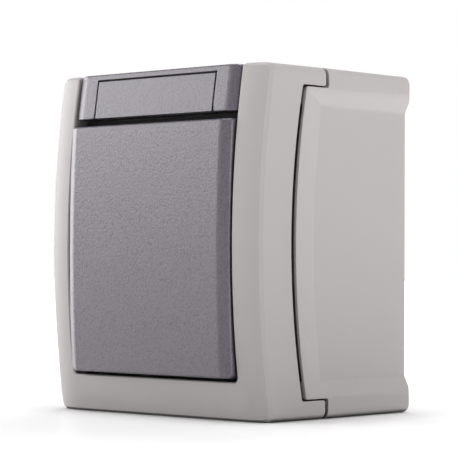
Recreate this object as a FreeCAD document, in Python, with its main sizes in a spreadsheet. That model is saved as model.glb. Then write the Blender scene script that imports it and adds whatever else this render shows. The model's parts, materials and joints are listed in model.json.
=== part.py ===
import FreeCAD, Part
import os
import re
import Sketcher

# Outdoor weatherproof switch for surface mounting, in millimetres.
# The origin is the middle of the rear face that lies on the wall.
# X points right, Y points into the wall, Z points up, so the front faces -Y.

doc = FreeCAD.newDocument("weatherproof_switch")

# Settable sizes, each written once
SIZES = [
    # Whole object
    ("width", 66.0),
    ("height", 76.5),
    ("depth", 52.0),
    ("bow_radius", 216.0),
    ("corner_radius", 2.0),
    # Front cover
    ("cover_taper", 0.75),
    ("bar_fall", 1.8),
    ("cover_edge", 0.6),
    ("window_width", 50.6),
    ("window_corner", 1.1),
    ("window_edge", 0.25),
    ("window_top_corner", 0.8),
    ("bottom_bar", 8.4),
    ("cover_side_wall", 2.8),
    ("cover_top_wall", 2.2),
    ("well_depth", 7.0),
    ("tray_thickness", 2.0),
    ("tray_hole_width", 29.0),
    ("tray_hole_height", 36.6),
    # Line where the cover meets the box
    ("split_setback", 11.0),
    ("split_radius", 163.0),
    ("tab_setback", 21.9),
    ("tab_height", 4.15),
    ("parting_gap", 1.1),
    ("step_gap", 0.4),
    ("step_radius", 0.6),
    # Rear box
    ("box_back", 3.0),
    ("box_edge", 0.5),
    ("lip_clearance", 0.2),
    ("lip_side", 1.4),
    ("lip_top", 1.65),
    ("rim_width", 0.65),
    ("rim_channel", 1.5),
    ("gasket_thickness", 1.6),
    ("panel_recess", 1.72),
    ("panel_land", 0.6),
    ("panel_front_slope", 7.2),
    ("panel_radius", 180.0),
    ("panel_band", 4.95),
    ("panel_side_slope", 3.4),
    ("panel_soft_radius", 2.0),
    ("wall_hole_radius", 2.2),
    ("wall_hole_x", 14.0),
    ("wall_hole_z", 28.0),
    ("cable_hole_radius", 7.0),
    ("cable_recess", 1.8),
    ("cable_recess_margin", 4.0),
    ("grommet_flange", 2.0),
    ("grommet_lip", 1.2),
    ("grommet_wall", 1.2),
    ("grommet_fit", 0.05),
    # Label strip and its cover
    ("strip_height", 10.15),
    ("strip_proud", 0.46),
    ("strip_face_width", 44.6),
    ("strip_fall", 1.0),
    ("strip_corner", 1.2),
    ("strip_hollow", 1.7),
    ("strip_wall", 1.7),
    ("clip_x", 14.0),
    ("clip_width", 4.0),
    ("clip_thickness", 1.6),
    ("clip_hook", 1.3),
    ("clip_lead", 0.9),
    ("clip_rise", 2.5),
    ("label_width", 36.2),
    ("label_height", 8.5),
    ("label_thickness", 1.2),
    ("label_gap", 0.38),
    ("label_corner", 0.5),
    ("side_gap", 0.5),
    # Rocker
    ("rocker_proud", 1.3),
    ("rocker_bow", 390.0),
    ("rocker_face_width", 45.0),
    ("rocker_fall", 1.2),
    ("rocker_edge", 0.45),
    ("rocker_corner", 1.4),
    ("rocker_sink", 4.0),
    ("rocker_skin", 2.3),
    ("rocker_sag", 0.7),
    ("rib_thickness", 1.6),
    ("rib_x", 8.0),
    ("rocker_rim", 2.0),
    ("slot_height", 1.75),
    ("bottom_gap", 0.85),
    ("seal_thickness", 1.2),
    ("seal_wall", 1.1),
    ("seal_bead", 0.8),
    ("leg_gap", 0.15),
    ("leg_hook", 0.7),
    ("leg_hook_height", 1.1),
    # Tilting cradle and its plunger
    ("pivot_drop", 4.0),
    ("pin_radius", 1.5),
    ("pin_clearance", 0.06),
    ("cradle_width", 24.0),
    ("cradle_height", 30.0),
    ("cradle_thickness", 3.0),
    ("cradle_rise", 0.5),
    ("cheek", 1.5),
    ("stem_radius", 3.2),
    ("stem_length", 8.0),
    ("stem_bore", 1.85),
    ("stem_bore_past", 0.5),
    ("plunger_radius", 1.75),
    ("plunger_reach", 2.0),
    ("plunger_nose", 1.2),
    ("plunger_gap", 0.1),
    ("plunger_length", 4.2),
    ("spring_radius", 1.35),
    ("spring_wire", 0.2),
    ("spring_turns", 2.5),
    # Switching mechanism
    ("mech_width", 33.6),
    ("mech_height", 41.0),
    ("ear_height", 5.0),
    ("mech_depth", 16.0),
    ("lug_thickness", 3.0),
    ("lug_width", 9.0),
    ("lug_room", 3.1),
    ("lug_rest", 4.0),
    ("snap_arm", 1.3),
    ("snap_hook", 0.8),
    ("snap_hook_height", 1.4),
    ("ear_width", 3.6),
    ("ear_radius", 3.2),
    ("ear_gap", 0.4),
    ("well_width", 13.0),
    ("well_height", 22.0),
    ("ridge_height", 2.4),
    ("contact_sheet", 0.8),
    ("contact_width", 6.0),
    ("seesaw_rise", 1.4),
    ("seesaw_ridge", 0.75),
    ("seesaw_clearance", 0.05),
    ("seesaw_sheet", 0.9),
    ("seesaw_length", 19.2),
    ("rivet_radius", 1.4),
    ("rivet_reach", 8.0),
    ("rivet_height", 0.48),
    ("clamp_size", 6.4),
    ("clamp_room", 0.6),
    ("clamp_depth", 5.4),
    ("terminal_z", 15.5),
    ("common_bar", 4.0),
    ("common_inset", 4.8),
    ("common_z", 11.5),
    ("wire_room", 2.6),
    ("clamp_floor", 1.0),
    # Screws
    ("screw_radius", 1.5),
    ("screw_clearance", 0.05),
    ("cover_screw_half_width", 20.0),
    ("cover_screw_half_height", 18.0),
    ("cover_screw_length", 12.0),
    ("cover_head_radius", 2.6),
    ("cover_head_height", 1.9),
    ("post_wall", 1.25),
    ("screw_slot", 0.7),
    # Room between pieces, and how far joined solids reach into each other
    ("gap", 0.3),
    ("slide_gap", 0.2),
    ("close_gap", 0.1),
    ("bite", 0.5),
]

dims = doc.addObject("Spreadsheet::Sheet", "dims")
for row, (alias, number) in enumerate(SIZES, start=1):
    dims.set("A%d" % row, alias)
    dims.set("B%d" % row, str(number))
    dims.setAlias("B%d" % row, alias)
doc.recompute()

ALIASES = re.compile(r"\b(%s)\b" % "|".join(alias for alias, number in SIZES))

# Places that follow from the sizes: depths count from the wall towards the front
PLACES = {
    "tray_front": "(depth - well_depth)",
    "tray_back": "(tray_front - tray_thickness)",
    "split_depth": "(depth - split_setback)",
    "tab_depth": "(depth - tab_setback)",
    "block_front": "(tab_depth - parting_gap)",
    "cable_hole_depth": "(block_front / 2)",
    "rocker_rear": "(depth - rocker_sink)",
    "cradle_front": "(tray_front + cradle_rise)",
    "pivot_depth": "(tray_back - pivot_drop)",
    "stem_end": "(pivot_depth - stem_length)",
    "stem_bore_end": "(pivot_depth + stem_bore_past)",
    "plunger_tip": "(stem_end - plunger_reach)",
    "seesaw_front": "(plunger_tip - plunger_gap)",
    "seesaw_pivot": "(seesaw_front - seesaw_rise)",
    "well_floor": "(seesaw_pivot - ridge_height)",
    "mech_front": "(pivot_depth - ear_height)",
    "mech_rear": "(mech_front - mech_depth)",
    "lug_rear": "(mech_rear + 2 * bite)",
    "lug_end": "(width / 2 - cover_side_wall - lip_clearance - lip_side - lug_room)",
    "common_x": "(mech_width / 2 - common_inset)",
}
PLACE_NAMES = re.compile(r"\b(%s)\b" % "|".join(PLACES))


# Helpers for formulas, sketches and features


def formula(text):
    """A formula in plain names of sizes and places, as an expression on the sheet."""
    text = str(text)
    while PLACE_NAMES.search(text):
        text = PLACE_NAMES.sub(lambda found: PLACES[found.group(1)], text)
    return ALIASES.sub(r"dims.\1", text)


def value(text):
    """The number that a formula gives now."""
    result = dims.evalExpression(formula(text))
    return float(getattr(result, "Value", result))


def bind(thing, prop, text):
    """Tie a property of an object to a formula."""
    thing.setExpression(prop, formula(text))


def new_body(label):
    body = doc.addObject("PartDesign::Body", label)
    body.Label = label
    return body


def plane_of(body, role):
    return [item for item in body.Origin.OriginFeatures if item.Role == role][0]


def pin_point(sketch, geo, end, x, y, tag):
    """Hold one end of a line or arc at two formulas."""
    at_x = sketch.addConstraint(Sketcher.Constraint("DistanceX", -1, 1, geo, end, value(x)))
    sketch.renameConstraint(at_x, tag + "_x")
    bind(sketch, "Constraints.%s_x" % tag, x)
    at_y = sketch.addConstraint(Sketcher.Constraint("DistanceY", -1, 1, geo, end, value(y)))
    sketch.renameConstraint(at_y, tag + "_y")
    bind(sketch, "Constraints.%s_y" % tag, y)


def add_circle(sketch, x, y, radius, tag):
    centre = FreeCAD.Vector(value(x), value(y), 0)
    geo = sketch.addGeometry(Part.Circle(centre, FreeCAD.Vector(0, 0, 1), value(radius)), False)
    pin_point(sketch, geo, 3, x, y, tag)
    size = sketch.addConstraint(Sketcher.Constraint("Radius", geo, value(radius)))
    sketch.renameConstraint(size, tag + "_r")
    bind(sketch, "Constraints.%s_r" % tag, radius)


def add_loop(sketch, corners, tag):
    """Closed loop. A corner is x, y, or x, y, radius, side when an arc starts there."""
    points = [FreeCAD.Vector(value(c[0]), value(c[1]), 0) for c in corners]
    ends = []
    for i, corner in enumerate(corners):
        start = points[i]
        stop = points[(i + 1) % len(points)]
        if len(corner) == 2:
            geo = sketch.addGeometry(Part.LineSegment(start, stop), False)
            ends.append((geo, 1, 2))
            continue
        radius = value(corner[2])
        side = corner[3]
        chord = stop - start
        normal = FreeCAD.Vector(-chord.y, chord.x, 0)
        normal.normalize()
        rise = radius - (radius ** 2 - chord.Length ** 2 / 4) ** 0.5
        middle = (start + stop) * 0.5 + normal * (rise * side)
        circle = Part.Arc(start, middle, stop)
        geo = sketch.addGeometry(circle, False)
        first = sketch.getPoint(geo, 1)
        ends.append((geo, 1, 2) if (first - start).Length < (first - stop).Length else (geo, 2, 1))
        size = sketch.addConstraint(Sketcher.Constraint("Radius", geo, radius))
        sketch.renameConstraint(size, "%s_%d_r" % (tag, i))
        bind(sketch, "Constraints.%s_%d_r" % (tag, i), corner[2])
    for i, corner in enumerate(corners):
        geo, begin, finish = ends[i]
        last, last_begin, last_finish = ends[i - 1]
        sketch.addConstraint(Sketcher.Constraint("Coincident", last, last_finish, geo, begin))
        pin_point(sketch, geo, begin, corner[0], corner[1], "%s_%d" % (tag, i))


def draw(body, name, role, loops, offset="0", axis_y=None):
    """Sketch on a plane of the body, moved along the plane's normal by a formula."""
    sketch = body.newObject("Sketcher::SketchObject", name)
    sketch.AttachmentSupport = [(plane_of(body, role), "")]
    sketch.MapMode = "FlatFace"
    bind(sketch, "AttachmentOffset.Base.z", offset)
    for i, loop in enumerate(loops):
        if isinstance(loop, tuple):
            add_circle(sketch, *loop, "c%d" % i)
        else:
            add_loop(sketch, loop, "p%d" % i)
    if axis_y is not None:
        here = FreeCAD.Vector(0, value(axis_y), 0)
        there = FreeCAD.Vector(value("width"), value(axis_y), 0)
        geo = sketch.addGeometry(Part.LineSegment(here, there), True)
        pin_point(sketch, geo, 1, "0", axis_y, "axis_a")
        pin_point(sketch, geo, 2, "width", axis_y, "axis_b")
    doc.recompute()
    return sketch


def volume_now(body):
    tip = body.Tip
    return tip.Shape.Volume if tip is not None and not tip.Shape.isNull() else 0.0


def finish(body, feature, before, grows):
    """Recompute, and stop if the feature did not add or take material."""
    doc.recompute()
    body.Tip = feature
    doc.recompute()
    change = feature.Shape.Volume - before
    if grows is True and change < 1e-6:
        raise RuntimeError(feature.Name + " added nothing")
    if grows is False and change > -1e-6:
        raise RuntimeError(feature.Name + " cut nothing")
    return feature


def extrude(kind, body, name, sketch, length, symmetric, reverse, grows):
    before = volume_now(body)
    feature = body.newObject("PartDesign::" + kind, name)
    feature.Profile = sketch
    feature.SideType = "Symmetric" if symmetric else "One side"
    feature.Reversed = reverse
    bind(feature, "Length", length)
    return finish(body, feature, before, grows)


def pad(body, name, sketch, length, symmetric=False, reverse=False):
    return extrude("Pad", body, name, sketch, length, symmetric, reverse, True)


def pocket(body, name, sketch, length, symmetric=False, reverse=False):
    return extrude("Pocket", body, name, sketch, length, symmetric, reverse, False)


def revolve(body, name, sketch, axis, angle, symmetric=True):
    before = volume_now(body)
    feature = body.newObject("PartDesign::Revolution", name)
    feature.Profile = sketch
    feature.ReferenceAxis = (sketch, [axis])
    feature.Midplane = symmetric
    bind(feature, "Angle", angle)
    return finish(body, feature, before, True)


def mirror(body, name, features, role):
    before = volume_now(body)
    feature = body.newObject("PartDesign::Mirrored", name)
    feature.Originals = features
    feature.MirrorPlane = (plane_of(body, role), [""])
    return finish(body, feature, before, None)


def soften(kind, prop, body, name, size, chosen):
    """Round or bevel the edges of the body that the test picks out by their bounding box."""
    before = volume_now(body)
    base = body.Tip
    edges = ["Edge%d" % i for i, e in enumerate(base.Shape.Edges, 1) if chosen(e.BoundBox, e)]
    if not edges:
        raise RuntimeError(name + " found no edge")
    feature = body.newObject("PartDesign::" + kind, name)
    feature.Base = (base, edges)
    bind(feature, prop, size)
    return finish(body, feature, before, None)


def fillet(body, name, radius, chosen):
    return soften("Fillet", "Radius", body, name, radius, chosen)


def chamfer(body, name, size, chosen):
    return soften("Chamfer", "Size", body, name, size, chosen)


# How far an edge may lie from the place where it is looked for
SLACK = 0.02


def near(a, b):
    return abs(a - b) < SLACK


def rectangle(x0, y0, x1, y1):
    return [(x0, y0), (x1, y0), (x1, y1), (x0, y1)]


# Helpers for plain solids


def block(name, x0, x1, y0, y1, z0, z1):
    box = doc.addObject("Part::Box", name)
    bind(box, "Length", "(%s) - (%s)" % (x1, x0))
    bind(box, "Width", "(%s) - (%s)" % (y1, y0))
    bind(box, "Height", "(%s) - (%s)" % (z1, z0))
    bind(box, "Placement.Base.x", x0)
    bind(box, "Placement.Base.y", y0)
    bind(box, "Placement.Base.z", z0)
    return box


TURN = {
    "X": FreeCAD.Rotation(FreeCAD.Vector(0, 1, 0), 90),
    "Y": FreeCAD.Rotation(FreeCAD.Vector(1, 0, 0), -90),
    "Z": FreeCAD.Rotation(),
}


def rod(name, axis, x, y, z, radius, length):
    """Cylinder that starts at a point and runs along +X, +Y or +Z."""
    cylinder = doc.addObject("Part::Cylinder", name)
    cylinder.Placement = FreeCAD.Placement(FreeCAD.Vector(0, 0, 0), TURN[axis])
    bind(cylinder, "Radius", radius)
    bind(cylinder, "Height", length)
    bind(cylinder, "Placement.Base.x", x)
    bind(cylinder, "Placement.Base.y", y)
    bind(cylinder, "Placement.Base.z", z)
    return cylinder


def join(name, pieces):
    fuse = doc.addObject("Part::MultiFuse", name)
    fuse.Shapes = pieces
    fuse.Refine = True
    doc.recompute()
    return fuse


def cut(name, base, tools):
    tool = tools[0] if len(tools) == 1 else join(name + "_tools", tools)
    result = doc.addObject("Part::Cut", name)
    result.Base = base
    result.Tool = tool
    result.Refine = True
    doc.recompute()
    return result


def group(name, pieces):
    compound = doc.addObject("Part::Compound", name)
    compound.Links = pieces
    doc.recompute()
    return compound


NODES = []


def keep(thing, label):
    """Name a finished piece and put it on the list that is written out."""
    thing.Label = label
    NODES.append(thing)
    return thing


# Shared formulas

HALF_W = "(width / 2)"
HALF_H = "(height / 2)"
FAR = "(width + height + depth)"
BOW_AXIS = "(bow_radius - depth)"
WINDOW = "(window_width / 2)"
WINDOW_BOTTOM = "(height / 2 - bottom_bar)"
STRIP_BOTTOM = "(height / 2 - strip_height)"
ROCKER_TOP = "(height / 2 - strip_height - slot_height)"
ROCKER_BOTTOM = "(height / 2 - bottom_bar - bottom_gap)"
ROCKER_SIDE = "(window_width / 2 - side_gap)"
ROCKER_FRONT = "(depth + rocker_proud)"
TAB_Z = "(height / 2 - tab_height)"
STEP_Z = "(height / 2 - tab_height - step_gap)"
LIP_X = "(width / 2 - cover_side_wall - lip_clearance)"
LIP_Z = "(height / 2 - cover_top_wall - lip_clearance)"
ROOM_X = "(width / 2 - cover_side_wall - lip_clearance - lip_side)"
ROOM_Z = "(height / 2 - cover_top_wall - lip_clearance - lip_top)"
LIP_FRONT = "(tray_front - tray_thickness - gasket_thickness)"
POST = "(screw_radius + post_wall)"
BORE = "(screw_radius + screw_clearance)"
COVER_SCREWS = (
    ("-cover_screw_half_width", "cover_screw_half_height"),
    ("cover_screw_half_width", "-cover_screw_half_height"),
)


def arc_y(apex, radius, z):
    """Depth coordinate of an arc that bulges forward, at a height."""
    return "(%s - %s - sqrt((%s) ^ 2 - (%s) ^ 2))" % (radius, apex, radius, z)


# Front cover: a bowed frame with convex side bars, a tray inside and stepped rear edges

cover = new_body("front_cover")
side_edge = "(width / 2 - cover_taper)"
# The bars leave the flat middle of the frame without a crease and run on past the sides
bar_width = "(width / 2 - cover_taper - window_width / 2)"
bar_radius = "((%s ^ 2 + bar_fall ^ 2) / (2 * bar_fall))" % bar_width
form_side = "(width / 2 + close_gap)"
form_fall = "(%s - sqrt(%s ^ 2 - (%s - %s) ^ 2))" % (bar_radius, bar_radius, form_side, WINDOW)
cover_section = [
    ("-" + form_side, "-tab_depth"),
    (form_side, "-tab_depth"),
    (form_side, "-(depth - %s)" % form_fall, bar_radius, 1),
    (WINDOW, "-depth"),
    ("-" + WINDOW, "-depth", bar_radius, 1),
    ("-" + form_side, "-(depth - %s)" % form_fall),
]
cover_sketch = draw(cover, "cover_section", "XY_Plane", [cover_section], axis_y=BOW_AXIS)
bow_angle = "2 * asin((height / 2 + corner_radius) / (bow_radius - tab_setback))"
revolve(cover, "cover_form", cover_sketch, "Axis0", bow_angle)

# Flat sides that lean in towards the front
lean_front = "-(depth - bar_fall)"
right_lean = [
    (side_edge, lean_front),
    (HALF_W, "-tab_depth"),
    (FAR, "-tab_depth"),
    (FAR, "-" + FAR),
    (side_edge, "-" + FAR),
]
left_lean = [("-" + x, y) for x, y in right_lean]
lean_sketch = draw(cover, "cover_sides", "XY_Plane", [right_lean, left_lean])
pocket(cover, "cover_side_trim", lean_sketch, "2 * height", symmetric=True)

split_end = arc_y("split_depth", "split_radius", TAB_Z)
cover_outside = [
    ("-" + FAR, HALF_H),
    ("-tab_depth", HALF_H),
    ("-tab_depth", TAB_Z),
    (split_end, TAB_Z, "split_radius", -1),
    (split_end, "-" + TAB_Z),
    ("-tab_depth", "-" + TAB_Z),
    ("-tab_depth", "-" + HALF_H),
    ("-" + FAR, "-" + HALF_H),
    ("-" + FAR, "-" + FAR),
    (FAR, "-" + FAR),
    (FAR, FAR),
    ("-" + FAR, FAR),
]
outside_sketch = draw(cover, "cover_outside", "YZ_Plane", [cover_outside])
pocket(cover, "cover_trim", outside_sketch, "4 * width", symmetric=True)


def cover_corner(box, edge):
    tall = near(abs(box.ZMin), value(HALF_H)) and near(abs(box.ZMax), value(HALF_H))
    aside = min(abs(box.XMin), abs(box.XMax)) > value(side_edge) - SLACK
    return tall and aside and box.YLength > value("corner_radius")


fillet(cover, "cover_corners", "corner_radius", cover_corner)


def cover_rim(box, edge):
    front = box.YMax < -value("tray_front")
    top = min(abs(box.ZMin), abs(box.ZMax)) > value(HALF_H) - value("corner_radius") - SLACK
    aside = min(abs(box.XMin), abs(box.XMax)) > value(side_edge) - value("corner_radius") - SLACK
    return front and (top or aside)


chamfer(cover, "cover_rim", "cover_edge", cover_rim)


def cover_step(box, edge):
    level = near(box.ZMin, box.ZMax) and near(abs(box.ZMin), value(TAB_Z))
    return level and box.XLength > value(WINDOW)


fillet(cover, "cover_steps", "step_radius", cover_step)

inner_x = "(width / 2 - cover_side_wall)"
inner_z = "(height / 2 - cover_top_wall)"
cavity = rectangle("-" + inner_x, "-" + inner_z, inner_x, inner_z)
cavity_sketch = draw(cover, "cover_cavity_outline", "XZ_Plane", [cavity])
pocket(cover, "cover_cavity", cavity_sketch, "tray_back", reverse=True)

window = rectangle("-" + WINDOW, "-" + WINDOW_BOTTOM, WINDOW, HALF_H + " + cover_top_wall")
window_sketch = draw(cover, "window_outline", "XZ_Plane", [window], offset="tray_front")
pocket(cover, "window_well", window_sketch, "depth - tray_front + bar_fall", reverse=True)


def window_lower_corner(box, edge):
    low = near(box.ZMin, -value(WINDOW_BOTTOM)) and near(box.ZMax, -value(WINDOW_BOTTOM))
    aside = near(min(abs(box.XMin), abs(box.XMax)), value(WINDOW))
    return low and aside and near(box.XMin, box.XMax)


fillet(cover, "window_corners", "window_corner", window_lower_corner)


def window_rim(box, edge):
    front = box.YMax < -value("tray_front + bite")
    tall = box.ZLength > value("bottom_bar")
    upright = near(box.XMin, box.XMax) and near(abs(box.XMin), value(WINDOW)) and tall
    above = box.ZMin > -value(WINDOW_BOTTOM) - SLACK
    wide = box.XLength > value("bottom_bar")
    level = near(box.ZMin, box.ZMax) and near(box.ZMin, -value(WINDOW_BOTTOM)) and wide
    return front and above and (upright or level)


chamfer(cover, "window_rim", "window_edge", window_rim)


def window_upper_corner(box, edge):
    high = near(box.ZMin, value(HALF_H)) and near(box.ZMax, value(HALF_H))
    aside = near(box.XMin, box.XMax) and near(abs(box.XMin), value(WINDOW))
    return high and aside


fillet(cover, "window_top_corners", "window_top_corner", window_upper_corner)

tray_hole = rectangle(
    "-tray_hole_width / 2", "-tray_hole_height / 2", "tray_hole_width / 2", "tray_hole_height / 2"
)
clip_low = "(%s + clip_rise)" % STRIP_BOTTOM
clip_slots = []
for side in ("-", ""):
    middle = side + "clip_x"
    half = "(clip_width / 2 + slide_gap)"
    slot = rectangle(
        "%s - %s" % (middle, half),
        clip_low + " - gap",
        "%s + %s" % (middle, half),
        clip_low + " + clip_thickness + clip_lead + close_gap",
    )
    clip_slots.append(slot)
cover_screw_holes = [(x, z, "screw_radius + gap") for x, z in COVER_SCREWS]
tray_sketch = draw(
    cover, "tray_openings", "XZ_Plane", [tray_hole] + clip_slots + cover_screw_holes, offset="tray_back"
)
pocket(cover, "tray_cut", tray_sketch, "tray_thickness", reverse=True)
keep(cover, "front_cover")


# Rear box: deep tray with recessed side panels, screw posts, snap hooks and a cable entry

box = new_body("rear_box")
band = rectangle("-" + HALF_W, "-" + HALF_H, HALF_W, HALF_H)
band_sketch = draw(box, "box_outline", "XZ_Plane", [band])
pad(box, "box_block", band_sketch, "block_front")


def box_corner(b, edge):
    aside = near(b.XMin, b.XMax) and near(abs(b.XMin), value(HALF_W))
    return aside and near(b.ZMin, b.ZMax) and b.YLength > value("corner_radius")


fillet(box, "box_corners", "corner_radius", box_corner)


def box_back_edge(b, edge):
    return near(b.YMin, 0) and near(b.YMax, 0)


chamfer(box, "box_back_edges", "box_edge", box_back_edge)

front_part = rectangle("-" + HALF_W, "-" + STEP_Z, HALF_W, STEP_Z)
front_sketch = draw(box, "box_front_outline", "XZ_Plane", [front_part], offset="box_back")
pad(box, "box_front_part", front_sketch, "split_depth - box_back")

box_apex = "(split_depth - parting_gap)"
over = "(%s + step_gap)" % STEP_Z
box_end = arc_y(box_apex, "split_radius", over)
ahead = [
    (box_end, over, "split_radius", -1),
    (box_end, "-" + over),
    ("-" + FAR, "-" + over),
    ("-" + FAR, over),
]
ahead_sketch = draw(box, "box_front_edge", "YZ_Plane", [ahead])
pocket(box, "box_front_trim", ahead_sketch, "4 * width", symmetric=True)


def box_step(b, edge):
    level = near(b.ZMin, b.ZMax) and near(abs(b.ZMin), value(STEP_Z))
    return level and b.XLength > value(WINDOW)


fillet(box, "box_steps", "step_radius", box_step)

panel_z = "(height / 2 - panel_band)"
panel_start = "(split_depth - parting_gap - panel_land)"
panel_end = arc_y(panel_start, "split_radius", panel_z)
panel_outer = [
    (panel_end, panel_z, "split_radius", -1),
    (panel_end, "-" + panel_z),
    ("depth / 4", "-" + panel_z),
    ("depth / 4", panel_z),
]
floor_z = "(height / 2 - panel_band - panel_side_slope)"
floor_start = "(split_depth - parting_gap - panel_land - panel_front_slope)"
floor_end = arc_y(floor_start, "panel_radius", floor_z)
panel_inner = [
    (floor_end, floor_z, "panel_radius", -1),
    (floor_end, "-" + floor_z),
    ("depth / 4", "-" + floor_z),
    ("depth / 4", floor_z),
]
outer_sketch = draw(box, "panel_outer_outline", "YZ_Plane", [panel_outer], offset=HALF_W)
inner_sketch = draw(
    box, "panel_floor_outline", "YZ_Plane", [panel_inner], offset=HALF_W + " - panel_recess"
)
before_panel = volume_now(box)
panel = box.newObject("PartDesign::SubtractiveLoft", "side_panel")
panel.Profile = outer_sketch
panel.Sections = [inner_sketch]
panel.Ruled = True
finish(box, panel, before_panel, False)
mirror(box, "other_side_panel", [panel], "YZ_Plane")


def panel_floor_edge(b, edge):
    sunk = near(abs(b.XMin), value(HALF_W) - value("panel_recess"))
    return sunk and near(b.XMin, b.XMax) and b.YMin < -SLACK


fillet(box, "panel_floor_edges", "panel_soft_radius", panel_floor_edge)

lip = rectangle("-" + LIP_X, "-" + LIP_Z, LIP_X, LIP_Z)
lip_sketch = draw(box, "lip_outline", "XZ_Plane", [lip], offset="box_back")
pad(box, "lip_block", lip_sketch, LIP_FRONT + " - box_back")

# Channel behind the rim of each side, which leaves a thin outer rim along the split line
channel_front = arc_y("split_depth", "split_radius", floor_z)
channel_apex = "(split_depth - parting_gap - rim_channel)"
channel_end = arc_y(channel_apex, "split_radius", floor_z)
channel = [
    (channel_end, floor_z, "split_radius", -1),
    (channel_end, "-" + floor_z),
    (channel_front, "-" + floor_z, "split_radius", 1),
    (channel_front, floor_z),
]
channel_sketch = draw(box, "rim_channel_outline", "YZ_Plane", [channel], offset=HALF_W + " - rim_width")
rim = pocket(box, "rim_channel", channel_sketch, "%s - rim_width - %s" % (HALF_W, LIP_X))
mirror(box, "other_rim_channel", [rim], "YZ_Plane")

room = rectangle("-" + ROOM_X, "-" + ROOM_Z, ROOM_X, ROOM_Z)
room_sketch = draw(box, "box_room_outline", "XZ_Plane", [room], offset="box_back")
pocket(box, "box_room", room_sketch, "split_depth", reverse=True)

cover_posts = [(x, z, POST) for x, z in COVER_SCREWS]
post_sketch = draw(box, "cover_post_outline", "XZ_Plane", [*cover_posts], offset="box_back - bite")
pad(box, "cover_posts", post_sketch, "tray_back - box_back + bite")
# Rests and snap hooks that hold the lugs of the mechanism
snap_out = "(lug_end + gap + snap_arm)"
lug_z = "(lug_width / 2)"
rests = []
arms = []
catches = []
for side in ("-", ""):
    rests.append(rectangle(side + "(lug_end - lug_rest)", "-" + lug_z, side + snap_out, lug_z))
    arms.append(rectangle(side + "(lug_end + gap)", "-" + lug_z, side + snap_out, lug_z))
    catches.append(rectangle(side + "(lug_end - snap_hook)", "-" + lug_z, side + snap_out, lug_z))
rest_sketch = draw(box, "lug_rest_outline", "XZ_Plane", rests, offset="box_back - bite")
pad(box, "lug_rests", rest_sketch, "lug_rear - box_back + bite")
arm_sketch = draw(box, "snap_arm_outline", "XZ_Plane", arms, offset="lug_rear - bite")
pad(box, "snap_arms", arm_sketch, "lug_thickness + close_gap + 2 * bite")
catch_rear = "lug_rear + lug_thickness + close_gap"
catch_sketch = draw(box, "snap_hook_outline", "XZ_Plane", catches, offset=catch_rear)
pad(box, "snap_hooks", catch_sketch, "snap_hook_height")

cover_pilots = [(x, z, BORE) for x, z, radius in cover_posts]
pilot_sketch = draw(box, "cover_pilot_outline", "XZ_Plane", [*cover_pilots], offset="tray_back")
pocket(box, "cover_pilots", pilot_sketch, "cover_screw_length")
wall_holes = []
for x in ("-wall_hole_x", "wall_hole_x"):
    for z in ("-wall_hole_z", "wall_hole_z"):
        wall_holes.append((x, z, "wall_hole_radius"))
wall_sketch = draw(box, "wall_hole_outline", "XZ_Plane", wall_holes, offset="box_back")
pocket(box, "wall_holes", wall_sketch, "2 * box_back")

entry_half = "(cable_hole_radius + cable_recess_margin)"
entry = rectangle(
    "-" + entry_half,
    "-cable_hole_depth - " + entry_half,
    entry_half,
    "-cable_hole_depth + " + entry_half,
)
entry_sketch = draw(box, "cable_recess_outline", "XY_Plane", [entry], offset="-" + HALF_H)
pocket(box, "cable_recess", entry_sketch, "cable_recess", reverse=True)
entry_hole = [("0", "-cable_hole_depth", "cable_hole_radius")]
hole_sketch = draw(box, "cable_hole_outline", "XY_Plane", entry_hole, offset="-" + HALF_H)
pocket(box, "cable_hole", hole_sketch, "%s - %s + bite" % (HALF_H, ROOM_Z), reverse=True)
keep(box, "rear_box")


# Gasket between the box's lip and the cover's tray

gasket_outer = block(
    "gasket_outer",
    "-%s + close_gap" % LIP_X,
    LIP_X + " - close_gap",
    "-tray_back",
    "-" + LIP_FRONT,
    "-%s + close_gap" % LIP_Z,
    LIP_Z + " - close_gap",
)
gasket_inner = block(
    "gasket_inner",
    "-%s - close_gap" % ROOM_X,
    ROOM_X + " + close_gap",
    "-tray_back - 2 * bite",
    "-%s + 2 * bite" % LIP_FRONT,
    "-%s - close_gap" % ROOM_Z,
    ROOM_Z + " + close_gap",
)
keep(cut("box_gasket", gasket_outer, [gasket_inner]), "box_gasket")


def trimmed(body, name, rear, low, high):
    """Cut away everything behind a depth and outside two heights."""
    outside = [
        ("-" + FAR, high),
        (rear, high),
        (rear, low),
        ("-" + FAR, low),
        ("-" + FAR, "-" + FAR),
        (FAR, "-" + FAR),
        (FAR, FAR),
        ("-" + FAR, FAR),
    ]
    sketch = draw(body, name + "_outline", "YZ_Plane", [outside])
    return pocket(body, name, sketch, "4 * width", symmetric=True)


# Label strip across the top of the window

strip = new_body("label_strip")
strip_radius = "(bow_radius + strip_proud)"
strip_front = "(depth + strip_proud)"
strip_section = [
    ("-" + ROCKER_SIDE, "-(tray_front - well_depth)"),
    (ROCKER_SIDE, "-(tray_front - well_depth)"),
    (ROCKER_SIDE, "-(%s - strip_fall)" % strip_front),
    ("strip_face_width / 2", "-" + strip_front),
    ("-strip_face_width / 2", "-" + strip_front),
    ("-" + ROCKER_SIDE, "-(%s - strip_fall)" % strip_front),
]
strip_sketch = draw(strip, "strip_section", "XY_Plane", [strip_section], axis_y=BOW_AXIS)
revolve(strip, "strip_form", strip_sketch, "Axis0", bow_angle)
trimmed(strip, "strip_trim", "-(tray_front + gap)", STRIP_BOTTOM, HALF_H)


def strip_corner(b, edge):
    high = near(b.ZMin, value(HALF_H)) and near(b.ZMax, value(HALF_H))
    return high and near(b.XMin, b.XMax) and near(abs(b.XMin), value(ROCKER_SIDE))


fillet(strip, "strip_corners", "strip_corner", strip_corner)


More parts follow.
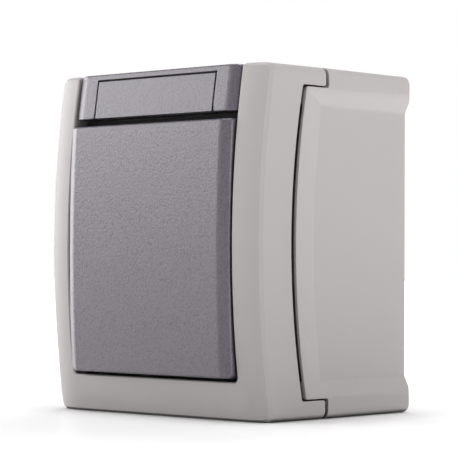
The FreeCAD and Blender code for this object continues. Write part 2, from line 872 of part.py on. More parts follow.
def strip_top_edge(b, edge):
    high = b.ZMin > value(HALF_H) - value("strip_corner") - SLACK
    return high and b.YMax < -value("tray_front + strip_hollow") and b.YLength < value("strip_fall + bite")


chamfer(strip, "strip_top", "rocker_edge", strip_top_edge)

hollow = rectangle(
    "-(%s - strip_wall)" % ROCKER_SIDE,
    STRIP_BOTTOM + " + strip_wall",
    ROCKER_SIDE + " - strip_wall",
    HALF_H + " - strip_wall",
)
hollow_sketch = draw(strip, "strip_hollow_outline", "XZ_Plane", [hollow], offset="tray_front + gap")
pocket(strip, "strip_hollow", hollow_sketch, "strip_hollow", reverse=True)

label_top = "(%s + label_height + label_gap)" % STRIP_BOTTOM
seat_radius = "(%s - label_thickness)" % strip_radius


def bow_y(radius, z):
    return "(%s - sqrt((%s) ^ 2 - (%s) ^ 2))" % (BOW_AXIS, radius, z)


seat_low = "(%s - slot_height)" % STRIP_BOTTOM
seat = [
    (bow_y(seat_radius, label_top), label_top, seat_radius, -1),
    (bow_y(seat_radius, seat_low), seat_low),
    ("-" + FAR, seat_low),
    ("-" + FAR, label_top),
]
seat_sketch = draw(strip, "label_seat_outline", "YZ_Plane", [seat])
pocket(strip, "label_seat", seat_sketch, "label_width + 2 * label_gap", symmetric=True)


def label_seat_corner(b, edge):
    low = near(b.ZMin, value(STRIP_BOTTOM)) and near(b.ZMax, value(STRIP_BOTTOM))
    return low and near(b.XMin, b.XMax) and near(abs(b.XMin), value("label_width / 2 + label_gap"))


fillet(strip, "label_corners", "label_corner", label_seat_corner)

clip_feet = []
for side in ("-", ""):
    foot = rectangle(
        side + "clip_x - clip_width / 2",
        clip_low,
        side + "clip_x + clip_width / 2",
        clip_low + " + clip_thickness",
    )
    clip_feet.append(foot)
foot_sketch = draw(strip, "clip_outline", "XZ_Plane", clip_feet, offset="tray_back - clip_lead")
pad(strip, "clips", foot_sketch, "tray_thickness + clip_lead + gap + strip_hollow + gap")
hooks = []
for side in ("-", ""):
    hook = rectangle(
        side + "clip_x - clip_width / 2",
        clip_low + " + clip_thickness - slide_gap",
        side + "clip_x + clip_width / 2",
        clip_low + " + clip_thickness + clip_hook + slide_gap",
    )
    hooks.append(hook)
hook_sketch = draw(strip, "hook_outline", "XZ_Plane", hooks, offset="tray_back - clip_lead")
pad(strip, "hooks", hook_sketch, "clip_lead - close_gap")
keep(strip, "label_strip")


# Cover that snaps over the label field

label = new_body("label_cover")
label_low = "(%s + close_gap)" % STRIP_BOTTOM
label_high = "(%s + label_height)" % STRIP_BOTTOM
label_back = "(%s + screw_clearance)" % seat_radius
label_face = strip_radius
label_profile = [
    (bow_y(label_back, label_high), label_high, label_back, -1),
    (bow_y(label_back, label_low), label_low),
    (bow_y(label_face, label_low), label_low, label_face, 1),
    (bow_y(label_face, label_high), label_high),
]
label_sketch = draw(label, "label_profile", "YZ_Plane", [label_profile])
pad(label, "label_plate", label_sketch, "label_width", symmetric=True)
keep(label, "label_cover")


# Rocker: the large key that is pressed at its top or bottom

rocker = new_body("rocker")
rocker_axis = "(rocker_bow - %s)" % ROCKER_FRONT
rocker_section = [
    ("-" + ROCKER_SIDE, "-(rocker_rear - 2 * rocker_sink)"),
    (ROCKER_SIDE, "-(rocker_rear - 2 * rocker_sink)"),
    (ROCKER_SIDE, "-(%s - rocker_fall)" % ROCKER_FRONT),
    ("rocker_face_width / 2", "-" + ROCKER_FRONT),
    ("-rocker_face_width / 2", "-" + ROCKER_FRONT),
    ("-" + ROCKER_SIDE, "-(%s - rocker_fall)" % ROCKER_FRONT),
]
rocker_sketch = draw(rocker, "rocker_section", "XY_Plane", [rocker_section], axis_y=rocker_axis)
rocker_angle = "2 * asin((height / 2 + rocker_sink) / (rocker_bow - depth))"
revolve(rocker, "rocker_form", rocker_sketch, "Axis0", rocker_angle)
trimmed(rocker, "rocker_trim", "-rocker_rear", "-" + ROCKER_BOTTOM, ROCKER_TOP)


def rocker_lower_corner(b, edge):
    low = near(b.ZMin, -value(ROCKER_BOTTOM)) and near(b.ZMax, -value(ROCKER_BOTTOM))
    aside = near(min(abs(b.XMin), abs(b.XMax)), value(ROCKER_SIDE))
    return low and aside and near(b.XMin, b.XMax)


fillet(rocker, "rocker_corners", "rocker_corner", rocker_lower_corner)


def rocker_front_end(b, edge):
    front = b.YMax < -value("rocker_rear") - value("rocker_edge")
    low = b.ZMax < -value(ROCKER_BOTTOM) + value("rocker_corner") + SLACK
    high = b.ZMin > value(ROCKER_TOP) - SLACK
    return front and (low or high)


chamfer(rocker, "rocker_ends", "rocker_edge", rocker_front_end)

hollow_depth = "(%s - rocker_skin - rocker_rear - rocker_sag)" % ROCKER_FRONT
rocker_hollow = rectangle(
    "-(%s - rocker_rim)" % ROCKER_SIDE,
    "-(%s - rocker_rim)" % ROCKER_BOTTOM,
    ROCKER_SIDE + " - rocker_rim",
    ROCKER_TOP + " - rocker_rim",
)
rocker_hollow_sketch = draw(
    rocker, "rocker_hollow_outline", "XZ_Plane", [rocker_hollow], offset="rocker_rear"
)
pocket(rocker, "rocker_hollow", rocker_hollow_sketch, hollow_depth, reverse=True)

ribs = []
for side in ("-", ""):
    rib = rectangle(
        side + "rib_x - rib_thickness / 2",
        "-(cradle_height / 2 - 2 * bite)",
        side + "rib_x + rib_thickness / 2",
        "cradle_height / 2 - 2 * bite",
    )
    ribs.append(rib)
rib_sketch = draw(rocker, "rib_outline", "XZ_Plane", ribs, offset="cradle_front")
pad(rocker, "ribs", rib_sketch, "rocker_rear + %s - cradle_front + bite" % hollow_depth)

leg_in = "(cradle_height / 2 + leg_gap)"
leg_out = "(cradle_height / 2 + leg_gap + clip_thickness)"
legs = [
    rectangle("-clip_width", leg_in, "clip_width", leg_out),
    rectangle("-clip_width", "-" + leg_out, "clip_width", "-" + leg_in),
]
leg_end = "(cradle_front - cradle_thickness - leg_hook_height - close_gap)"
leg_sketch = draw(rocker, "leg_outline", "XZ_Plane", legs, offset=leg_end)
pad(rocker, "legs", leg_sketch, "rocker_rear + %s - %s + bite" % (hollow_depth, leg_end))
hook_in = "(%s - leg_gap - leg_hook)" % leg_in
hook_out = "(%s + slide_gap)" % leg_in
leg_hooks = [
    rectangle("-clip_width", hook_in, "clip_width", hook_out),
    rectangle("-clip_width", "-" + hook_out, "clip_width", "-" + hook_in),
]
leg_hook_sketch = draw(rocker, "leg_hook_outline", "XZ_Plane", leg_hooks, offset=leg_end)
pad(rocker, "leg_hooks", leg_hook_sketch, "leg_hook_height")
keep(rocker, "rocker")


# Rubber mat on the tray that seals around the rocker's legs

seal_x = "(window_width / 2 - gap - close_gap)"
seal_plate = block(
    "seal_plate",
    "-" + seal_x,
    seal_x,
    "-(tray_front + seal_thickness)",
    "-tray_front",
    "-(%s - gap - close_gap)" % WINDOW_BOTTOM,
    STRIP_BOTTOM + " - slide_gap",
)
seal_plug = block(
    "seal_plug",
    "-(tray_hole_width / 2 - close_gap)",
    "tray_hole_width / 2 - close_gap",
    "-(tray_front + seal_thickness + seal_bead)",
    "-(tray_back - bite)",
    "-(tray_hole_height / 2 - close_gap)",
    "tray_hole_height / 2 - close_gap",
)
seal_opening = block(
    "seal_opening",
    "-(tray_hole_width / 2 - close_gap - seal_wall)",
    "tray_hole_width / 2 - close_gap - seal_wall",
    "-depth",
    "-pivot_depth",
    "-(tray_hole_height / 2 - close_gap - seal_wall / 2)",
    "tray_hole_height / 2 - close_gap - seal_wall / 2",
)
seal_cuts = [seal_opening]
seal_hole = "cover_head_radius + 2 * gap"
for i, (x, z) in enumerate(COVER_SCREWS):
    seal_cuts.append(rod("seal_screw_%d" % i, "Y", x, "-depth", z, seal_hole, "depth / 2"))
keep(cut("rocker_seal", join("seal_body", [seal_plate, seal_plug]), seal_cuts), "rocker_seal")


# Cradle that carries the rocker and turns on two pins

cradle_x = "(cradle_width / 2)"
cradle_back = "(cradle_front - cradle_thickness)"
stem_root = "(%s + bite)" % cradle_back
cradle_pieces = [
    block(
        "cradle_plate",
        "-" + cradle_x,
        cradle_x,
        "-cradle_front",
        "-" + cradle_back,
        "-cradle_height / 2",
        "cradle_height / 2",
    ),
    rod("cradle_stem", "Y", "0", "-" + stem_root, "0", "stem_radius", stem_root + " - stem_end"),
]
cheek_rear = "-(pivot_depth - ear_radius)"
for i, inner in enumerate((cradle_x + " - cheek", "-" + cradle_x)):
    outer = inner + " + cheek"
    cradle_pieces.append(
        block("cheek_%d" % i, inner, outer, "-" + stem_root, cheek_rear, "-ear_radius", "ear_radius")
    )
pin_reach = "(ear_gap + ear_width - gap)"
cradle_pieces.append(rod("pin_right", "X", cradle_x, "-pivot_depth", "0", "pin_radius", pin_reach))
cradle_pieces.append(
    rod("pin_left", "X", "-%s - %s" % (cradle_x, pin_reach), "-pivot_depth", "0", "pin_radius", pin_reach)
)
stem_hole = rod("stem_hole", "Y", "0", "-stem_bore_end", "0", "stem_bore", "stem_bore_end - stem_end + bite")
keep(cut("cradle", join("cradle_body", cradle_pieces), [stem_hole]), "cradle")


# Spring-loaded plunger in the cradle's stem

plunger_head = "(plunger_tip + plunger_length)"
plunger_rod = rod(
    "plunger_rod",
    "Y",
    "0",
    "-" + plunger_head,
    "0",
    "plunger_radius",
    "plunger_length - plunger_nose",
)
plunger_nose = doc.addObject("Part::Cone", "plunger_nose")
plunger_nose.Placement = FreeCAD.Placement(FreeCAD.Vector(0, 0, 0), TURN["Y"])
bind(plunger_nose, "Radius1", "plunger_radius")
bind(plunger_nose, "Radius2", "plunger_radius - plunger_nose")
bind(plunger_nose, "Height", "plunger_nose")
bind(plunger_nose, "Placement.Base.y", "-(plunger_tip + plunger_nose)")
keep(join("plunger", [plunger_rod, plunger_nose]), "plunger")

spring_room = "(stem_bore_end - %s - 2 * spring_wire - close_gap)" % plunger_head
spring_line = doc.addObject("Part::Helix", "spring_line")
bind(spring_line, "Height", spring_room)
bind(spring_line, "Pitch", spring_room + " / spring_turns")
bind(spring_line, "Radius", "spring_radius")
spring_ring = doc.addObject("Part::RegularPolygon", "spring_ring")
spring_ring.Polygon = 4
bind(spring_ring, "Circumradius", "spring_wire")
spring_ring.Placement = FreeCAD.Placement(
    FreeCAD.Vector(0, 0, 0), FreeCAD.Rotation(FreeCAD.Vector(1, 0, 0), 90)
)
bind(spring_ring, "Placement.Base.x", "spring_radius")
doc.recompute()
coil = doc.addObject("Part::Sweep", "plunger_spring")
coil.Sections = [spring_ring]
coil.Spine = (spring_line, [])
coil.Solid = True
coil.Frenet = True
coil.Placement = FreeCAD.Placement(FreeCAD.Vector(0, 0, 0), TURN["Y"])
bind(coil, "Placement.Base.y", "-(stem_bore_end - spring_wire - close_gap / 2)")
doc.recompute()
keep(coil, "plunger_spring")


# Base of the switching mechanism

mech_x = "(mech_width / 2)"
mech_z = "(mech_height / 2)"
mech_pieces = [
    block("mech_block", "-" + mech_x, mech_x, "-mech_front", "-mech_rear", "-" + mech_z, mech_z),
    block(
        "mech_lugs",
        "-lug_end",
        "lug_end",
        "-(lug_rear + lug_thickness)",
        "-lug_rear",
        "-lug_width / 2",
        "lug_width / 2",
    ),
]
ear_inner = "(%s + ear_gap)" % cradle_x
for i, start in enumerate((ear_inner, "-%s - ear_width" % ear_inner)):
    stop = "%s + ear_width" % start
    mech_pieces.append(
        block("ear_%d" % i, start, stop, "-pivot_depth", "-(mech_front - bite)", "-ear_radius", "ear_radius")
    )
    mech_pieces.append(rod("ear_end_%d" % i, "X", start, "-pivot_depth", "0", "ear_radius", "ear_width"))

clamp_half = "(clamp_size / 2 + clamp_room)"
front_face = "-(mech_front + bite)"
strip_y = "-(well_floor + contact_sheet)"
wire_back = "-(well_floor + contact_sheet + clamp_floor)"
wire_front = "-(well_floor + contact_sheet + clamp_floor + wire_room)"
channel_y = "-(well_floor + contact_sheet + gap)"
wire_half = "(wire_room / 2 + slide_gap)"
bar_half = "(common_bar / 2)"
channel_half = "(common_bar / 2 + gap)"
mech_cuts = [
    rod("ear_hole", "X", "-" + mech_x, "-pivot_depth", "0", "pin_radius + pin_clearance", "mech_width"),
    block(
        "contact_well",
        "-well_width / 2",
        "well_width / 2",
        front_face,
        "-well_floor",
        "-well_height / 2",
        "well_height / 2",
    ),
    block(
        "throw_pockets",
        "-" + clamp_half,
        clamp_half,
        front_face,
        "-well_floor",
        "-(terminal_z + %s)" % clamp_half,
        "terminal_z + " + clamp_half,
    ),
    block(
        "common_pocket",
        "-(common_x + %s)" % clamp_half,
        "-(common_x - %s)" % clamp_half,
        front_face,
        "-well_floor",
        "common_z - " + clamp_half,
        "common_z + " + clamp_half,
    ),
    block(
        "common_channel",
        "-(common_x + %s)" % channel_half,
        "0",
        channel_y,
        "-well_floor",
        "-" + channel_half,
        channel_half,
    ),
    block(
        "common_riser",
        "-(common_x + %s)" % channel_half,
        "-(common_x - %s)" % channel_half,
        channel_y,
        "-well_floor",
        "-" + channel_half,
        "common_z",
    ),
    block("throw_wires", "-" + wire_half, wire_half, wire_front, wire_back, "-mech_height", "mech_height"),
    block(
        "common_wire",
        "-(common_x + %s)" % wire_half,
        "-(common_x - %s)" % wire_half,
        wire_front,
        wire_back,
        "common_z",
        "mech_height",
    ),
]
keep(cut("mechanism_base", join("mech_body", mech_pieces), mech_cuts), "mechanism_base")


# Contacts: one common sheet with a pivot ridge, one sheet for each throw

contact_x = "(contact_width / 2)"
bar_end = "-(common_x + %s)" % bar_half
common_pieces = [
    block("common_bar", bar_end, contact_x, strip_y, "-well_floor", "-" + bar_half, bar_half),
    block(
        "common_arm",
        bar_end,
        "-(common_x - %s)" % bar_half,
        strip_y,
        "-well_floor",
        "-" + bar_half,
        "common_z + clamp_size / 2 - slide_gap",
    ),
    block("ridge_web", "-" + contact_x, contact_x, "-seesaw_pivot", strip_y, "-seesaw_ridge", "seesaw_ridge"),
    rod("ridge_top", "X", "-" + contact_x, "-seesaw_pivot", "0", "seesaw_ridge", "contact_width"),
]
keep(join("common_contact", common_pieces), "common_contact")
throw_near = "(rivet_reach - rivet_radius - clamp_room)"
throw_far = "(terminal_z + clamp_size / 2 - slide_gap)"
keep(
    block("upper_contact", "-" + contact_x, contact_x, strip_y, "-well_floor", throw_near, throw_far),
    "upper_contact",
)
keep(
    block(
        "lower_contact",
        "-" + contact_x,
        contact_x,
        strip_y,
        "-well_floor",
        "-" + throw_far,
        "-" + throw_near,
    ),
    "lower_contact",
)
rivet_y = "-(well_floor + contact_sheet + rivet_height)"
fixed_rivets = [
    rod("fixed_rivet_up", "Y", "0", rivet_y, "rivet_reach", "rivet_radius", "rivet_height"),
    rod("fixed_rivet_down", "Y", "0", rivet_y, "-rivet_reach", "rivet_radius", "rivet_height"),
]
keep(group("fixed_rivets", fixed_rivets), "fixed_rivets")


# Rocking contact and its two rivets

seesaw_back = "(seesaw_front - seesaw_sheet)"
seesaw_bar = block(
    "seesaw_bar",
    "-" + contact_x,
    contact_x,
    "-seesaw_front",
    "-" + seesaw_back,
    "-seesaw_length / 2",
    "seesaw_length / 2",
)
seesaw_groove = rod(
    "seesaw_groove",
    "X",
    "-contact_width",
    "-seesaw_pivot",
    "0",
    "seesaw_ridge + seesaw_clearance",
    "2 * contact_width",
)
keep(cut("contact_seesaw", seesaw_bar, [seesaw_groove]), "contact_seesaw")
moving_height = "(%s - seesaw_pivot)" % seesaw_back
moving_rivets = [
    rod("moving_rivet_up", "Y", "0", "-" + seesaw_back, "rivet_reach", "rivet_radius", moving_height),
    rod("moving_rivet_down", "Y", "0", "-" + seesaw_back, "-rivet_reach", "rivet_radius", moving_height),
]
keep(group("moving_rivets", moving_rivets), "moving_rivets")


# Terminal clamps, terminal screws and cover screws

TERMINALS = (("0", "terminal_z"), ("0", "-terminal_z"), ("-common_x", "common_z"))


def slotted_screw(name, x, y, z, head_radius, head_height, length):
    """Screw whose head faces the front: y is the underside of its head."""
    head = rod(name + "_head", "Y", x, "%s - %s" % (y, head_height), z, head_radius, head_height)
    shank = rod(name + "_shank", "Y", x, "%s - bite" % y, z, "screw_radius", "%s + bite" % length)
    slot = block(
        name + "_slot",
        "%s - 2 * screw_radius - %s" % (x, head_radius),
        "%s + 2 * screw_radius + %s" % (x, head_radius),
        "%s - %s - bite" % (y, head_height),
        "%s - %s / 2" % (y, head_height),
        "%s - screw_slot / 2" % z,
        "%s + screw_slot / 2" % z,
    )
    return cut(name, join(name + "_solid", [head, shank]), [slot])


clamps = []
terminal_screws = []
clamp_top = "(well_floor + contact_sheet + clamp_depth)"
screw_back = "(well_floor + contact_sheet + clamp_floor + wire_room)"
for i, (x, z) in enumerate(TERMINALS):
    half = "clamp_size / 2"
    solid = block(
        "clamp_block_%d" % i,
        "%s - %s" % (x, half),
        "%s + %s" % (x, half),
        "-" + clamp_top,
        strip_y,
        "%s - %s" % (z, half),
        "%s + %s" % (z, half),
    )
    thread_length = "clamp_depth - clamp_floor"
    thread = rod("clamp_thread_%d" % i, "Y", x, "-%s - bite" % clamp_top, z, BORE, thread_length)
    cage = block(
        "clamp_cage_%d" % i,
        "%s - wire_room / 2" % x,
        "%s + wire_room / 2" % x,
        wire_front,
        wire_back,
        "%s - clamp_size" % z,
        "%s + clamp_size" % z,
    )
    clamps.append(cut("clamp_%d" % i, solid, [thread, cage]))
    screw_top = "(%s + slide_gap)" % clamp_top
    screw_length = "%s - %s" % (screw_top, screw_back)
    shank = rod("terminal_shank_%d" % i, "Y", x, "-" + screw_top, z, "screw_radius", screw_length)
    slot = block(
        "terminal_slot_%d" % i,
        "%s - 2 * screw_radius" % x,
        "%s + 2 * screw_radius" % x,
        "-(%s + 2 * bite)" % clamp_top,
        "-(%s - bite)" % clamp_top,
        "%s - screw_slot / 2" % z,
        "%s + screw_slot / 2" % z,
    )
    terminal_screws.append(cut("terminal_screw_%d" % i, shank, [slot]))
keep(group("terminal_clamps", clamps), "terminal_clamps")
keep(group("terminal_screws", terminal_screws), "terminal_screws")

cover_screws = []
for i, (x, z) in enumerate(COVER_SCREWS):
    cover_screws.append(
        slotted_screw(
            "cover_screw_%d" % i,
            x,
            "-tray_front",
            z,
            "cover_head_radius",
            "cover_head_height",
            "cover_screw_length",
        )
    )
keep(group("cover_screws", cover_screws), "cover_screws")


# Rubber grommet with a closed membrane, cut open when the cable goes in

grommet = new_body("cable_grommet")
entry_z = "(height / 2 - cable_recess)"
neck = "(cable_hole_radius - grommet_fit)"
flange = "(cable_hole_radius + grommet_flange)"
grommet_lip = "(cable_hole_radius + grommet_lip)"
mouth = "(cable_hole_radius - grommet_flange)"
grommet_section = [
    ("0", "-(%s - grommet_wall)" % ROOM_Z),
    (grommet_lip, "-(%s - grommet_wall)" % ROOM_Z),
    (grommet_lip, "-(%s - grommet_fit)" % ROOM_Z),
    (neck, "-(%s - grommet_fit)" % ROOM_Z),
    (neck, "-(%s + grommet_fit)" % entry_z),
    (flange, "-(%s + grommet_fit)" % entry_z),
    (flange, "-(%s + grommet_wall)" % entry_z),
    (mouth, "-(%s + grommet_wall)" % entry_z),
    (mouth, "-(%s - grommet_fit)" % ROOM_Z),
    ("0", "-(%s - grommet_fit)" % ROOM_Z),
]
grommet_sketch = draw(grommet, "grommet_section", "XZ_Plane", [grommet_section], offset="cable_hole_depth")
revolve(grommet, "grommet_turned", grommet_sketch, "V_Axis", "360", symmetric=False)
keep(grommet, "cable_grommet")


# Checks, then one file for each piece

doc.recompute()
for item in doc.Objects:
    if "Invalid" in item.State or "Error" in item.State:
        raise RuntimeError("%s: %s" % (item.Name, item.State))
os.makedirs("parts", exist_ok=True)
for node in NODES:
    shape = node.Shape
    if shape.isNull() or not shape.isValid() or not shape.Solids:
        raise RuntimeError(node.Label + " has no sound solid")
    shape.exportStep("parts/%s.step" % node.Label)
    print("%-18s %2d solids %9.1f mm3" % (node.Label, len(shape.Solids), shape.Volume))
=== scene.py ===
# %% [markdown]
# # A weatherproof wall switch, dressed for a studio picture
#
# The switch is a light grey moulded housing with a large grained rocker in a darker grey.
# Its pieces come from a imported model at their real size. This lesson gives each of them
# the surface that it has on the real object, models the soft edges that light catches,
# and sets up the camera and the lights.

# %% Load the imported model
import bmesh
import bpy
import json
import math
from mathutils import Matrix, Vector


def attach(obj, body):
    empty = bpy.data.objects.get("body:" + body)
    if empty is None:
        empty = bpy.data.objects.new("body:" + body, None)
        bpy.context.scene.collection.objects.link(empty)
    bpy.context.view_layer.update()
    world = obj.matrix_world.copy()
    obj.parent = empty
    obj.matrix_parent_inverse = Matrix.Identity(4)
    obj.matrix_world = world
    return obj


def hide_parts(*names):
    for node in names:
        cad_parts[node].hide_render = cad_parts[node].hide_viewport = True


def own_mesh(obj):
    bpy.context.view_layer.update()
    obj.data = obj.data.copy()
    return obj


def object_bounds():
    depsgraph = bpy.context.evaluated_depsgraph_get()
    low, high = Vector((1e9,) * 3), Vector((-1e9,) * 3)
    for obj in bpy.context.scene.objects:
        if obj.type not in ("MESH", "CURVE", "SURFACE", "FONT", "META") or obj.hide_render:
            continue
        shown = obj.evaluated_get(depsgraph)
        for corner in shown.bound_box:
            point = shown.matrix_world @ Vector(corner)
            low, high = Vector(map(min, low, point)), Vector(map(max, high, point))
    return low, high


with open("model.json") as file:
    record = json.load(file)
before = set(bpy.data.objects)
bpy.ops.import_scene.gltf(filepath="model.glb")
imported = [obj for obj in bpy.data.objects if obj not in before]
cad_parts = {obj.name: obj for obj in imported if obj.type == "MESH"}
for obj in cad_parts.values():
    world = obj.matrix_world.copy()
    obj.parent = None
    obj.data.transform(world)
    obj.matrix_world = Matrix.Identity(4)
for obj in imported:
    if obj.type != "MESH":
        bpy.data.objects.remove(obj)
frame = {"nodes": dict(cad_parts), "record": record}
CAD_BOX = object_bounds()
NODES = frame["nodes"]
MM = 0.001


def in_mm(box):
    """Both corners of a box as rounded millimetres."""
    return [[round(length / MM, 2) for length in corner] for corner in box]


print("loaded", len(NODES), "nodes, box in mm:", in_mm(CAD_BOX))

# %% [markdown]
# ## Camera
#
# The picture was taken from the front and right, a little below the middle of the switch,
# with a long lens. The angle, the distance and the focal length were found by fitting the
# straight and bowed edges of the housing, so the values below are a lens and a place that
# a real camera could have had.

# %% Place the camera
CAMERA_PLACE = Vector((319.97, -372.39, -4.62)) * MM
CAMERA_AZIMUTH = math.radians(42.668)
CAMERA_ELEVATION = math.radians(-0.973)
CAMERA_ROLL = math.radians(0.208)
SENSOR_WIDTH = 36.0
FOCAL_LENGTH = 161.53
NEAREST, FARTHEST = 0.01, 50.0


def camera_axes():
    """Right, up and forward of the camera, with its small roll."""
    forward = Vector((
        -math.sin(CAMERA_AZIMUTH) * math.cos(CAMERA_ELEVATION),
        math.cos(CAMERA_AZIMUTH) * math.cos(CAMERA_ELEVATION),
        -math.sin(CAMERA_ELEVATION),
    ))
    level = Vector((math.cos(CAMERA_AZIMUTH), math.sin(CAMERA_AZIMUTH), 0.0))
    upright = level.cross(forward)
    right = level * math.cos(CAMERA_ROLL) + upright * math.sin(CAMERA_ROLL)
    up = right.cross(forward)
    return right, up, forward


camera_data = bpy.data.cameras.new("photo_camera")
camera_data.sensor_width = SENSOR_WIDTH
camera_data.lens = FOCAL_LENGTH
camera_data.clip_start = NEAREST
camera_data.clip_end = FARTHEST
camera = bpy.data.objects.new("photo_camera", camera_data)
bpy.context.scene.collection.objects.link(camera)
right, up, forward = camera_axes()
turn = Matrix((right, up, -forward)).transposed().to_4x4()
camera.matrix_world = Matrix.Translation(CAMERA_PLACE) @ turn
bpy.context.scene.camera = camera
print("camera stands", round(CAMERA_PLACE.length / MM), "mm from the switch")

# %% [markdown]
# ## Small helpers for materials
#
# Colours are written as sRGB hex values, as a colour picker shows them, and turned to the
# linear values that a shader works with. One function adds a node, sets its values and
# links its inputs. The others build on it: a mix of two colours, noise of a real size, a
# value spread over a range, and a bump of a real depth. A material then reads as a short
# list of what its surface is made of.

# %% Colour and node helpers
COLOUR_A, COLOUR_B, COLOUR_OUT = 6, 7, 2  # where the Mix node keeps its colour sockets


def linear(hex_colour):
    """An sRGB hex colour as linear red, green, blue and alpha."""
    channels = [int(hex_colour[i:i + 2], 16) / 255 for i in (1, 3, 5)]
    return tuple(
        c / 12.92 if c <= 0.04045 else ((c + 0.055) / 1.055) ** 2.4 for c in channels
    ) + (1.0,)


def add(tree, kind, inputs=None, **settings):
    """Add a node. An input is a value, or a node's output socket to link."""
    node = tree.nodes.new("ShaderNode" + kind)
    for name, value in settings.items():
        setattr(node, name, value)
    for name, value in (inputs or {}).items():
        socket = node.inputs[name]
        if isinstance(value, bpy.types.NodeSocket):
            tree.links.new(value, socket)
        else:
            socket.default_value = value
    return node


def new_material(name):
    """An empty node material, its tree, and the object's own coordinates in metres."""
    material = bpy.data.materials.new(name)
    material.use_nodes = True
    tree = material.node_tree
    tree.nodes.clear()
    return material, tree, add(tree, "TexCoord").outputs["Object"]


def surface(material, inputs):
    """Give a material its shader and its output, and return it."""
    tree = material.node_tree
    shader = add(tree, "BsdfPrincipled", inputs)
    add(tree, "OutputMaterial", {"Surface": shader.outputs["BSDF"]})
    return material


print("mid grey is", [round(c, 3) for c in linear("#808080")])

# %% Pattern helpers


def per_metre(size_mm):
    """Texture scale that makes one pattern cell as large as a real size."""
    return 1.0 / (size_mm * MM)


def noise(tree, place, size_mm, detail):
    """Noise whose clouds or grains have a real size."""
    scale = per_metre(size_mm)
    return add(tree, "TexNoise", {"Vector": place, "Scale": scale, "Detail": detail}).outputs["Fac"]


def mixed(tree, factor, first, second):
    """Mix of a hex colour with another one, or with a colour socket."""
    mix = add(tree, "Mix", {"Factor": factor, COLOUR_A: linear(first)}, data_type="RGBA")
    if isinstance(second, str):
        mix.inputs[COLOUR_B].default_value = linear(second)
    else:
        tree.links.new(second, mix.inputs[COLOUR_B])
    return mix.outputs[COLOUR_OUT]


def spread(tree, value, low, high):
    """A value from 0 to 1, spread over a range."""
    return add(tree, "MapRange", {"Value": value, "To Min": low, "To Max": high}).outputs["Result"]


def bumped(tree, height, strength, depth_mm):
    """Normal that a height pattern of a real depth gives."""
    bump = add(tree, "Bump", {"Height": height, "Strength": strength, "Distance": depth_mm * MM})
    return bump.outputs["Normal"]


print("a pattern of 0.5 mm repeats", round(per_metre(0.5)), "times per metre")

# %% [markdown]
# ## Housing plastic
#
# The box and the front cover are injection moulded from a UV-stable ABS, light grey with a
# warm cast. The mould was finely blasted, so the surface is satin: highlights are broad and
# soft. A slow cloud of noise varies the colour and the gloss very slightly, as flow in the
# mould does, and a very fine bump breaks the highlight. Ambient occlusion over a few
# millimetres finds the narrow gaps between the mouldings and paints shade into the plastic
# there and nowhere else: the dark colour stands in for the shadow that falls in the gaps.

# %% Make the housing plastic
FLOW_CLOUD_MM = 18.0
BLAST_GRIT_MM = 0.25  # coarser than a real blast of about 0.1 mm, so that the pixels show it
BLAST_DEPTH_MM = 0.02
GAP_REACH_MM = 5.0
GAP_RAYS = 8


def shade_painted_in_gaps(tree, shade, colour, closed, free):
    """Colour with painted shade: it turns to a dark shade as its place goes from free to closed in.
    """
    air = add(tree, "AmbientOcclusion", {"Distance": GAP_REACH_MM * MM}, samples=GAP_RAYS)
    unshaded = add(tree, "MapRange", {
        "Value": air.outputs["AO"], "From Min": closed, "From Max": free,
    })
    return mixed(tree, unshaded.outputs["Result"], shade, colour)


def satin_moulded_abs():
    material, tree, place = new_material("light_grey_abs_satin_moulded")
    flow = noise(tree, place, FLOW_CLOUD_MM, 2.0)
    tint = mixed(tree, flow, "#9a9595", "#9d9898")
    grit = noise(tree, place, BLAST_GRIT_MM, 1.0)
    return surface(material, {
        # painted shade: the colour turns dark in narrow gaps, where shadow falls
        "Base Color": shade_painted_in_gaps(tree, "#1f1b19", tint, 0.08, 0.35),
        "Roughness": spread(tree, flow, 0.56, 0.62),
        "IOR": 1.5,
        "Normal": bumped(tree, grit, 0.06, BLAST_DEPTH_MM),
    })


HOUSING = satin_moulded_abs()
print("made", HOUSING.name)

# %% [markdown]
# ## Key plastic
#
# The rocker, the label strip and the label cover are moulded from the same family of
# plastic in a darker grey. Their mould was spark eroded to a leather-like grain of small
# rounded pebbles 0.36 mm wide and a little taller, which hides fingerprints. Smooth
# Voronoi cells give the pebbles and a finer noise their skin. Both go into the bump, and
# the pebbles go into the colour too, because the valleys between them catch less light.

# %% Make the key plastic
PEBBLE_MM = 0.36
SKIN_MM = 0.18
GRAIN_DEPTH_MM = 0.1
UPRIGHT = (1.0, 1.0, 0.7)


def grained_moulded_abs():
    material, tree, place = new_material("mid_grey_abs_spark_grained")
    tall = add(tree, "Mapping", {"Vector": place, "Scale": UPRIGHT}).outputs["Vector"]
    pebbles = add(tree, "TexVoronoi", {
        "Vector": tall, "Scale": per_metre(PEBBLE_MM), "Smoothness": 0.6, "Randomness": 1.0,
    }, feature="SMOOTH_F1").outputs["Distance"]
    skin = noise(tree, tall, SKIN_MM, 2.0)
    height = add(tree, "Math", {0: skin, 1: pebbles}, operation="SUBTRACT").outputs["Value"]
    tint = mixed(tree, pebbles, "#5f5962", "#443f48")
    return surface(material, {
        # painted shade: the colour turns near black in narrow gaps, where shadow falls
        "Base Color": shade_painted_in_gaps(tree, "#0d0c0d", tint, 0.1, 0.5),
        "Roughness": 0.37,
        "IOR": 1.58,
        "Normal": bumped(tree, height, 0.46, GRAIN_DEPTH_MM),
    })


KEY = grained_moulded_abs()
print("made", KEY.name)

# %% [markdown]
# ## Rubber, insulating plastic and metals
#
# The seals are black moulded rubber with a dull skin. The mechanism is white insulating
# plastic, its contacts are stamped brass with silver rivets, and screws and springs are
# zinc plated steel. Most of this hides inside, but each piece still gets its own finish.

# %% Make the inner materials
RUBBER_GRAIN_MM = 0.4  # coarser than real, where the skin is nearly smooth
RUBBER_DEPTH_MM = 0.05
CHALK_CLOUD_MM = 6.0
BRUSH_LINE_MM = 0.12  # coarser than real drawing lines of about 0.03 mm
DRAWN_OUT = (1.0, 1.0, 0.05)


